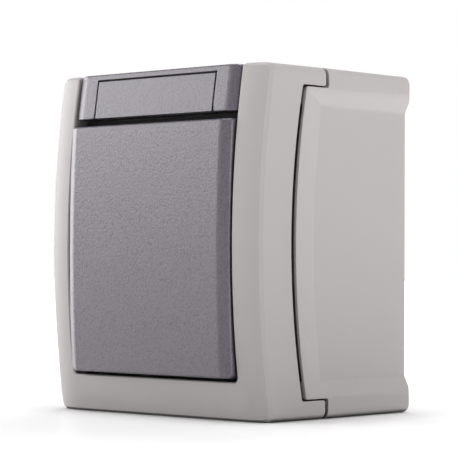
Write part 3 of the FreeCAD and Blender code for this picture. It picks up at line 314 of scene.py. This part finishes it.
def moulded_rubber():
    material, tree, place = new_material("black_epdm_rubber_moulded")
    grain = noise(tree, place, RUBBER_GRAIN_MM, 3.0)
    return surface(material, {
        "Base Color": mixed(tree, grain, "#151414", "#201f1f"),
        "Roughness": 0.75,
        "Normal": bumped(tree, grain, 0.2, RUBBER_DEPTH_MM),
    })


def moulded_insulator():
    material, tree, place = new_material("white_urea_resin_moulded")
    cloud = noise(tree, place, CHALK_CLOUD_MM, 3.0)
    return surface(material, {
        "Base Color": mixed(tree, cloud, "#e4e2dc", "#efede8"),
        "Roughness": spread(tree, cloud, 0.25, 0.35),
        "IOR": 1.55,
    })


def drawn_metal(name, dark, light, low_gloss, high_gloss):
    """Metal whose surface carries fine lines along its drawing direction."""
    material, tree, place = new_material(name)
    stretch = add(tree, "Mapping", {"Vector": place, "Scale": DRAWN_OUT}).outputs["Vector"]
    lines = noise(tree, stretch, BRUSH_LINE_MM, 2.0)
    return surface(material, {
        "Base Color": mixed(tree, lines, dark, light),
        "Roughness": spread(tree, lines, low_gloss, high_gloss),
        "Metallic": 1.0,
    })


RUBBER = moulded_rubber()
INSULATOR = moulded_insulator()
BRASS = drawn_metal("brass_stamped_sheet", "#b08d4c", "#c9a765", 0.28, 0.40)
SILVER = drawn_metal("silver_alloy_rivet", "#c8c7c4", "#dedddb", 0.25, 0.35)
ZINC = drawn_metal("steel_zinc_plated", "#a9abad", "#c3c4c4", 0.30, 0.42)
print("made", [material.name for material in (RUBBER, INSULATOR, BRASS, SILVER, ZINC)])

# %% [markdown]
# ## A finish for every piece
#
# On the real switch each piece is one material throughout, so one table says which piece
# gets which finish. The pieces that are modelled anew below take theirs from it as well.

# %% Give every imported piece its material
FINISHES = {
    "rear_box": HOUSING,
    "front_cover": HOUSING,
    "label_strip": KEY,
    "label_cover": KEY,
    "rocker": KEY,
    "box_gasket": RUBBER,
    "rocker_seal": RUBBER,
    "cable_grommet": RUBBER,
    "cradle": INSULATOR,
    "plunger": INSULATOR,
    "mechanism_base": INSULATOR,
    "common_contact": BRASS,
    "upper_contact": BRASS,
    "lower_contact": BRASS,
    "contact_seesaw": BRASS,
    "terminal_clamps": BRASS,
    "fixed_rivets": SILVER,
    "moving_rivets": SILVER,
    "plunger_spring": ZINC,
    "terminal_screws": ZINC,
    "cover_screws": ZINC,
}
for name, node in NODES.items():
    node.data.materials.clear()
    node.data.materials.append(FINISHES[name])
print("finished", len(NODES), "pieces; without a finish:", sorted(set(NODES) - set(FINISHES)))

# %% [markdown]
# ## Faces of the key and of the label strip
#
# The rocker and the strip above it are thin mouldings with a bowed face, slanted flanks and
# rounded edges. Moulded edges are never sharp: the rounding catches a thin line of light,
# and that line tells the eye how large the piece is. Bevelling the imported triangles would
# tear at the corners, so each face is modelled anew from a flat plate: the outline is cut
# and its corners rounded, the plate gets its thickness, its front is pushed back into the
# flanks and the bow, and then creases and rims are rounded. Behind the face stays the
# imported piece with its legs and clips.

# %% Helpers that pick vertices and edges
TOLERANCE_MM = 0.01


def alone(piece):
    """Make one piece the active and only selected one."""
    bpy.ops.object.select_all(action="DESELECT")
    piece.select_set(True)
    bpy.context.view_layer.objects.active = piece


def edit(piece, mode):
    """Go into edit mode on one piece, with all of its mesh selected."""
    alone(piece)
    bpy.ops.object.mode_set(mode="EDIT")
    bpy.ops.mesh.select_mode(type=mode)
    bpy.ops.mesh.select_all(action="SELECT")


def pick(piece, kind, wanted):
    """Select only the vertices, edges or faces that a test wants, and count them."""
    bpy.ops.mesh.select_all(action="DESELECT")
    mesh = bmesh.from_edit_mesh(piece.data)
    mesh.normal_update()
    parts = {"verts": mesh.verts, "edges": mesh.edges, "faces": mesh.faces}[kind]
    found = [part for part in parts if wanted(part)]
    for part in found:
        part.select_set(True)
    bmesh.update_edit_mesh(piece.data)
    return len(found)


def close(a_metres, b_mm):
    return abs(a_metres / MM - b_mm) < TOLERANCE_MM


print("places count as the same within", TOLERANCE_MM, "mm")

# %% Cut a flat plate to its outline
LEVEL_STEP_MM = 2.5
CORNER_STEPS = 6
FACING_FRONT = (math.pi / 2, 0.0, 0.0)
ASIDE, UP = (1.0, 0.0, 0.0), (0.0, 0.0, 1.0)


def cut(point, normal):
    """Cut the whole mesh along a plane through a point in millimetres."""
    bpy.ops.mesh.select_all(action="SELECT")
    bpy.ops.mesh.bisect(plane_co=[length * MM for length in point], plane_no=normal)


def cut_notch(piece, half_width, top):
    """Take a rectangle out of the plate's lower edge."""
    for x in (-half_width, half_width):
        cut((x, 0.0, 0.0), ASIDE)
    cut((0.0, 0.0, top), UP)
    bpy.ops.mesh.select_mode(type="FACE")
    pick(piece, "faces", lambda face: abs(face.calc_center_median().x) < half_width * MM
         and face.calc_center_median().z < top * MM)
    bpy.ops.mesh.delete(type="FACE")
    bpy.ops.mesh.select_mode(type="VERT")


def flat_plate(name, half_width, low, high, front, thickness, corners=(), lines=(), notch=None):
    """Flat plate facing the front, cut along lines at both sides and at many levels."""
    middle = (0.0, front * MM, (low + high) / 2 * MM)
    bpy.ops.object.select_all(action="DESELECT")
    bpy.ops.mesh.primitive_plane_add(size=1.0, location=middle, rotation=FACING_FRONT)
    piece = bpy.context.object
    piece.name = name
    piece.scale = (2 * half_width * MM, (high - low) * MM, 1.0)
    bpy.ops.object.transform_apply(location=True, rotation=True, scale=True)
    edit(piece, "VERT")
    if notch:
        cut_notch(piece, *notch)
    for x, z, radius in corners:
        pick(piece, "verts", lambda vertex: close(abs(vertex.co.x), x) and close(vertex.co.z, z))
        bpy.ops.mesh.bevel(
            offset=radius * MM, segments=CORNER_STEPS, affect="VERTICES", clamp_overlap=False
        )
    for line in lines:
        for x in (-line, line):
            cut((x, 0.0, 0.0), ASIDE)
    levels = round((high - low) / LEVEL_STEP_MM)
    for index in range(1, levels):
        cut((0.0, 0.0, low + (high - low) * index / levels), UP)
    bpy.ops.object.mode_set(mode="OBJECT")
    wall = piece.modifiers.new("wall", "SOLIDIFY")
    wall.thickness = thickness * MM
    wall.offset = -1.0
    bpy.ops.object.modifier_apply(modifier=wall.name)
    return piece


print("plates are cut every", LEVEL_STEP_MM, "mm")

# %% Push a plate into its flanks and its bow
FRONT_BAND_MM = 0.05


def rows(vertices, measure):
    """Group vertices that share a measure in millimetres: each group's measure and indices."""
    groups = []
    for vertex in sorted(vertices, key=measure):
        if not groups or measure(vertex) - groups[-1][0] > TOLERANCE_MM:
            groups.append((measure(vertex), set()))
        groups[-1][1].add(vertex.index)
    return groups


def slant_and_bow(piece, front, half_width, face_half, fall, bow, whole):
    """Push the front back into its flanks, and the front or the whole plate into its bow."""
    edit(piece, "VERT")
    mesh = bmesh.from_edit_mesh(piece.data)
    limit = (front + FRONT_BAND_MM) * MM
    front_vertices = [vertex for vertex in mesh.verts if vertex.co.y < limit]
    bowed = list(mesh.verts) if whole else front_vertices
    pushes = []
    for aside, row in rows(front_vertices, lambda vertex: abs(vertex.co.x) / MM):
        if aside > face_half:
            pushes.append((fall * (aside - face_half) / (half_width - face_half), row))
    for level, row in rows(bowed, lambda vertex: vertex.co.z / MM):
        pushes.append((bow - math.sqrt(bow * bow - level * level), row))
    for back, row in pushes:
        pick(piece, "verts", lambda vertex: vertex.index in row)
        bpy.ops.transform.translate(value=(0.0, back * MM, 0.0))
    bpy.ops.object.mode_set(mode="OBJECT")


print("a front reaches", FRONT_BAND_MM, "mm deep before it is pushed")

# %% Round creases and rims
EDGE_STEPS, FINE_STEPS = 4, 2
FACES_FRONT, FACES_ASIDE = -0.6, -0.3  # limits of a face normal's y
CREASE_DEGREES = (15.0, 45.0)


def turn_between(one, other):
    return math.degrees(one.normal.angle(other.normal))


def is_crease(edge, one, other):
    """Shallow fold between two faces that both look to the front."""
    in_front = max(one.normal.y, other.normal.y) < FACES_FRONT
    return in_front and CREASE_DEGREES[0] < turn_between(one, other) < CREASE_DEGREES[1]


def is_rim(edge, one, other):
    """Edge where the front meets a side."""
    front, side = sorted((one.normal.y, other.normal.y))
    return front < FACES_FRONT and side > FACES_ASIDE


def soften(piece, width, steps, wanted):
    """Round the edges that a test wants, given the two faces that meet there."""
    edit(piece, "EDGE")
    count = pick(piece, "edges", lambda edge: (
        len(edge.link_faces) == 2 and wanted(edge, *edge.link_faces)
    ))
    if count:
        bpy.ops.mesh.bevel(offset=width * MM, segments=steps, clamp_overlap=False)
    bpy.ops.object.mode_set(mode="OBJECT")
    return count


print("edges are rounded in", EDGE_STEPS, "steps, fine ones in", FINE_STEPS)

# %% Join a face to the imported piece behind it
WELD_MM = 0.002
SMOOTH_DEGREES = 28.0
BODIES = frame["record"]["behaviour"]["bodies"]
BODY_OF = {node: body for body, nodes in BODIES.items() for node in nodes}


def merged_copy(name):
    """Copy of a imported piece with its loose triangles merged."""
    alone(NODES[name])
    bpy.ops.object.duplicate()
    piece = bpy.context.object
    bpy.ops.mesh.customdata_custom_splitnormals_clear()
    edit(piece, "VERT")
    bpy.ops.mesh.remove_doubles(threshold=WELD_MM * MM)
    bpy.ops.object.mode_set(mode="OBJECT")
    return piece


def rear_of(name, level):
    """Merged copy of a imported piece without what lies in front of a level."""
    piece = merged_copy(name)
    edit(piece, "VERT")
    bpy.ops.mesh.bisect(
        plane_co=(0.0, level * MM, 0.0), plane_no=(0.0, -1.0, 0.0), clear_outer=True, use_fill=True
    )
    bpy.ops.object.mode_set(mode="OBJECT")
    return piece


def open_edges(piece):
    """Count edges that lack exactly two faces. A closed piece has none."""
    shell = bmesh.new()
    shell.from_mesh(piece.data)
    count = sum(len(edge.link_faces) != 2 for edge in shell.edges)
    shell.free()
    return count


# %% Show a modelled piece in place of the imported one


def stand_for(name, pieces):
    """Unite and weld pieces, keep large faces flat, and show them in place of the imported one."""
    piece = pieces[0]
    for other in pieces[1:]:
        unite = piece.modifiers.new("unite", "BOOLEAN")
        unite.operation = "UNION"
        unite.solver = "EXACT"
        unite.object = other
        bpy.context.view_layer.objects.active = piece
        bpy.ops.object.modifier_apply(modifier=unite.name)
        bpy.data.objects.remove(other)
    edit(piece, "VERT")
    bpy.ops.mesh.remove_doubles(threshold=WELD_MM * MM)
    bpy.ops.mesh.dissolve_degenerate(threshold=WELD_MM * MM)
    bpy.ops.object.mode_set(mode="OBJECT")
    piece.name = name + "_moulded"
    piece.data.materials.clear()
    piece.data.materials.append(FINISHES[name])
    bpy.ops.object.shade_smooth_by_angle(angle=math.radians(SMOOTH_DEGREES))
    weigh = piece.modifiers.new("flat_faces_stay_flat", "WEIGHTED_NORMAL")
    weigh.keep_sharp = True
    bpy.ops.object.modifier_apply(modifier=weigh.name)
    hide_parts(name)
    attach(piece, BODY_OF[name])
    print(piece.name, "has", len(piece.data.polygons), "faces,", open_edges(piece), "open edges")


print("edges sharper than", SMOOTH_DEGREES, "degrees stay sharp")

# %% [markdown]
# ## Rocker
#
# The rocker is the part that a finger presses: a large plate, bowed a little from top to
# bottom, with a slanted flank at each side so that it doesn't catch. Its lower corners are
# rounder than the upper ones, which meet the strip. Lengths are in millimetres in the
# switch's own frame, and the front is the lowest y.

# %% Model the rocker
ROCKER_SIDE, ROCKER_FACE, ROCKER_FALL = 24.8, 22.5, 1.2
ROCKER_LOW, ROCKER_HIGH = -29.0, 26.35
ROCKER_FRONT, ROCKER_CUT, ROCKER_BOW = -53.3, -49.4, 390.0
ROCKER_LOW_CORNER, ROCKER_HIGH_CORNER = 1.4, 0.4
CREASE_MM = 0.6
ROCKER_RIM_MM = 0.45
rocker_face = flat_plate(
    "rocker_face", ROCKER_SIDE, ROCKER_LOW, ROCKER_HIGH, ROCKER_FRONT, ROCKER_CUT - ROCKER_FRONT,
    corners=[
        (ROCKER_SIDE, ROCKER_LOW, ROCKER_LOW_CORNER),
        (ROCKER_SIDE, ROCKER_HIGH, ROCKER_HIGH_CORNER),
    ],
    lines=[ROCKER_FACE],
)
slant_and_bow(
    rocker_face, ROCKER_FRONT, ROCKER_SIDE, ROCKER_FACE, ROCKER_FALL, ROCKER_BOW, whole=False
)
creases = soften(rocker_face, CREASE_MM, EDGE_STEPS, is_crease)
rims = soften(rocker_face, ROCKER_RIM_MM, EDGE_STEPS, is_rim)
print("rocker: rounded", creases, "crease edges and", rims, "rim edges")
stand_for("rocker", [rocker_face, rear_of("rocker", ROCKER_CUT)])

# %% [markdown]
# ## Label strip
#
# Above the rocker a fixed strip closes the front. It has the same flanks, a stronger bow,
# and a seat, open below, that takes the label cover. The strip's face is a plate with a
# notch. A second, thinner plate lies deeper and makes the floor of the seat. It reaches a
# little into the face at both sides and above, so that the union of the two is closed.

# %% Model the label strip
STRIP_SIDE, STRIP_FACE, STRIP_FALL = 24.8, 22.3, 1.0
STRIP_LOW, STRIP_HIGH = 28.1, 38.25
STRIP_FRONT, STRIP_CUT, STRIP_BOW = -52.46, -47.2, 216.46
STRIP_LOW_CORNER, STRIP_HIGH_CORNER = 0.4, 1.2
SEAT_SIDE, SEAT_HIGH, SEAT_CORNER = 18.48, 36.98, 0.5
STRIP_RIM_MM, SEAT_RIM_MM = 0.35, 0.1


def is_seat_rim(edge, one, other):
    """Rim along the straight sides and the top of the seat."""
    middle = (edge.verts[0].co + edge.verts[1].co) / 2 / MM
    beside = abs(middle.x) < SEAT_SIDE + TOLERANCE_MM
    above = middle.z > STRIP_LOW + SEAT_CORNER - TOLERANCE_MM
    below = middle.z < SEAT_HIGH + TOLERANCE_MM
    return is_rim(edge, one, other) and beside and above and below


def is_outer_rim(edge, one, other):
    return is_rim(edge, one, other) and not is_seat_rim(edge, one, other)


strip_face = flat_plate(
    "strip_face", STRIP_SIDE, STRIP_LOW, STRIP_HIGH, STRIP_FRONT, STRIP_CUT - STRIP_FRONT,
    corners=[
        (STRIP_SIDE, STRIP_HIGH, STRIP_HIGH_CORNER),
        (STRIP_SIDE, STRIP_LOW, STRIP_LOW_CORNER),
        (SEAT_SIDE, STRIP_LOW, SEAT_CORNER),
    ],
    lines=[STRIP_FACE], notch=(SEAT_SIDE, SEAT_HIGH),
)
slant_and_bow(strip_face, STRIP_FRONT, STRIP_SIDE, STRIP_FACE, STRIP_FALL, STRIP_BOW, whole=False)
creases = soften(strip_face, CREASE_MM, EDGE_STEPS, is_crease)
rims = soften(strip_face, STRIP_RIM_MM, EDGE_STEPS, is_outer_rim)
seat_rims = soften(strip_face, SEAT_RIM_MM, FINE_STEPS, is_seat_rim)
print("strip: rounded", creases, "crease edges,", rims, "rim edges and", seat_rims, "seat edges")

# %% Add the floor of the seat and join the strip
LABEL_DEPTH = 1.2
SEAT_BITE = 0.25
NO_FLANK = 1.0  # a face this much wider than the plate leaves it without flanks
floor_front = STRIP_FRONT + LABEL_DEPTH
floor_side, floor_high = SEAT_SIDE + SEAT_BITE, SEAT_HIGH + SEAT_BITE
floor_wall = STRIP_CUT - SEAT_BITE - floor_front
seat_floor = flat_plate("seat_floor", floor_side, STRIP_LOW, floor_high, floor_front, floor_wall)
slant_and_bow(
    seat_floor, floor_front, floor_side, floor_side + NO_FLANK, 0.0, STRIP_BOW - LABEL_DEPTH,
    whole=False,
)
stand_for("label_strip", [strip_face, seat_floor, rear_of("label_strip", STRIP_CUT)])

# %% [markdown]
# ## Label cover
#
# The label cover is a small flat plate that snaps into the seat over a paper label. It
# carries the same bow as the strip and stays level with it, so that only a fine joint
# shows. It has one thickness all over, so the whole plate is bowed and not only its front.

# %% Model the label cover
LABEL_SIDE, LABEL_LOW, LABEL_HIGH, LABEL_WALL = 18.1, 28.2, 36.6, 1.1
LABEL_LOW_CORNER, LABEL_HIGH_CORNER = 0.3, 0.2
LABEL_RIM_MM = 0.12
label_plate = flat_plate(
    "label_plate", LABEL_SIDE, LABEL_LOW, LABEL_HIGH, STRIP_FRONT, LABEL_WALL,
    corners=[
        (LABEL_SIDE, LABEL_LOW, LABEL_LOW_CORNER),
        (LABEL_SIDE, LABEL_HIGH, LABEL_HIGH_CORNER),
    ],
)
slant_and_bow(
    label_plate, STRIP_FRONT, LABEL_SIDE, LABEL_SIDE + NO_FLANK, 0.0, STRIP_BOW, whole=True
)
rims = soften(label_plate, LABEL_RIM_MM, FINE_STEPS, is_rim)
print("label cover: rounded", rims, "rim edges")
stand_for("label_cover", [label_plate])

# %% [markdown]
# ## Soft slopes on the sides of the box
#
# Each side of the box has a sunk panel whose slopes run into the flat faces in a gentle
# curve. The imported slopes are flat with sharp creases. The triangles of a merged copy are
# joined into whole faces first, because a bevel needs clean neighbours. Then only the
# shallow creases of the two panels that run from front to rear are rounded.

# %% Round the slopes of the box
PANEL_SIDE = 30.5
PANEL_DEGREES = (15.0, 40.0)
PANEL_ROUND_MM = 0.9
FLAT_DEGREES = 0.4
LENGTHWISE = 3.0  # how much longer a crease is from front to rear than upwards


def is_panel_crease(edge, one, other):
    beside = min(abs(vertex.co.x) for vertex in edge.verts) > PANEL_SIDE * MM
    along = edge.verts[1].co - edge.verts[0].co
    lengthwise = abs(along.y) > LENGTHWISE * abs(along.z)
    return beside and lengthwise and PANEL_DEGREES[0] < turn_between(one, other) < PANEL_DEGREES[1]


soft_box = merged_copy("rear_box")
edit(soft_box, "FACE")
bpy.ops.mesh.dissolve_limited(angle_limit=math.radians(FLAT_DEGREES))
bpy.ops.object.mode_set(mode="OBJECT")
creases = soften(soft_box, PANEL_ROUND_MM, EDGE_STEPS, is_panel_crease)
print("box: rounded", creases, "crease edges")
stand_for("rear_box", [soft_box])

# %% [markdown]
# ## Spring
#
# A coil spring under the rocker presses the plunger against the rocking contact. When the
# plunger moves in, the coil shortens: its outer end stays in the cradle and the other end
# follows the plunger. Here the coil is a merged copy with a mesh of its own, shown in place
# of the imported one, and it keeps its imported length.

# %% Copy the spring with a mesh of its own
coil = merged_copy("plunger_spring")
stand_for("plunger_spring", [coil])
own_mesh(coil)

# %% [markdown]
# ## Light table
#
# The switch stands on a white light table. The table glows from below, but not near the
# switch, and least at its front left, so the lower parts of the faces stay a little darker
# than the upper ones, as in the picture. Lengths of the studio are in metres.

# %% Build the light table
FLOOR_LEVEL = CAD_BOX[0].z
FLOOR_SIZE = 6.0
LACQUER_CLOUD_MM = 300.0
DARK_CENTRE = (-0.05, -0.08, 0.0)
GLOW_START, GLOW_END = 0.08, 0.31
NEAR_GLOW, FAR_GLOW = 0.0, 1.3
WHITE = (1.0, 1.0, 1.0, 1.0)


def white_table():
    """White lacquered glass, lit from below more and more away from a dark spot."""
    material, tree, place = new_material("white_lacquered_light_table")
    cloud = noise(tree, place, LACQUER_CLOUD_MM, 2.0)
    aside = add(tree, "VectorMath", {0: place, 1: DARK_CENTRE}, operation="SUBTRACT")
    distance = add(tree, "VectorMath", {0: aside.outputs["Vector"]}, operation="LENGTH")
    glow = add(tree, "MapRange", {
        "Value": distance.outputs["Value"], "From Min": GLOW_START, "From Max": GLOW_END,
        "To Min": NEAR_GLOW, "To Max": FAR_GLOW,
    }, interpolation_type="SMOOTHSTEP")
    return surface(material, {
        "Base Color": linear("#f4f4f4"),
        "Roughness": spread(tree, cloud, 0.30, 0.34),
        "Emission Color": WHITE,
        "Emission Strength": glow.outputs["Result"],
    })


bpy.ops.object.select_all(action="DESELECT")
bpy.ops.mesh.primitive_plane_add(size=FLOOR_SIZE, location=(0, 0, FLOOR_LEVEL))
floor = bpy.context.object
floor.name = "table"
floor.data.materials.append(white_table())
print("floor at", round(FLOOR_LEVEL / MM, 2), "mm")

# %% [markdown]
# ## White room
#
# Behind the switch hangs white paper. The camera sees it fully white, but it gives the
# switch only part of that light, so that the softboxes can model the shapes.

# %% Build the room
ROOM_LIGHT = 0.29
world = bpy.data.worlds.new("white_room")
bpy.context.scene.world = world
world.use_nodes = True
room = world.node_tree
room.nodes.clear()
seen = add(room, "LightPath").outputs["Is Camera Ray"]
dim = add(room, "Background", {"Color": WHITE, "Strength": ROOM_LIGHT})
paper = add(room, "Background", {"Color": WHITE, "Strength": 1.0})
both = add(room, "MixShader", {0: seen, 1: dim.outputs[0], 2: paper.outputs[0]})
add(room, "OutputWorld", {"Surface": both.outputs[0]})
print("the room gives", ROOM_LIGHT, "of its white as light")

# %% [markdown]
# ## Softboxes
#
# Two softboxes at the left rake across the bowed front, and one at the front left is
# mirrored by the rocker. One at the right lights the side, two behind lift the top and the
# edges, and one overhead keeps the table white. Their powers were first worked out from
# pictures lit by each one alone, and then changed against the photo.

# %% Hang the softboxes
SOFTBOX_SIZE = 0.35
TARGET = Vector((0.0, -26.0, 0.0)) * MM
SOFTBOXES = {  # azimuth from the front to the right, elevation, distance, watts
    "left": (-88.0, 10.0, 0.8, 2.0),
    "left_nearer": (-70.0, 14.0, 0.8, 1.8),
    "front_left": (-43.0, 20.0, 0.8, 2.5),
    "right_low": (85.0, 8.0, 0.8, 2.4),
    "back": (170.0, 20.0, 0.8, 1.6),
    "back_high": (-137.0, 50.0, 0.8, 1.7),
    "overhead": (0.0, 89.0, 1.0, 7.2),
}


def softbox(name, azimuth, elevation, distance, power):
    """Square area light that faces the switch."""
    data = bpy.data.lights.new(name, "AREA")
    data.shape = "RECTANGLE"
    data.size = SOFTBOX_SIZE
    data.size_y = SOFTBOX_SIZE
    data.energy = power
    light = bpy.data.objects.new(name, data)
    bpy.context.scene.collection.objects.link(light)
    around = math.radians(azimuth)
    above = math.radians(elevation)
    away = Vector((
        math.sin(around) * math.cos(above),
        -math.cos(around) * math.cos(above),
        math.sin(above),
    ))
    light.location = TARGET + away * distance
    light.rotation_mode = "QUATERNION"
    light.rotation_quaternion = (-away).to_track_quat("-Z", "Y")


for name, place in SOFTBOXES.items():
    softbox(name, *place)
bpy.context.scene.view_settings.view_transform = "Standard"
print("hung", len(SOFTBOXES), "softboxes")
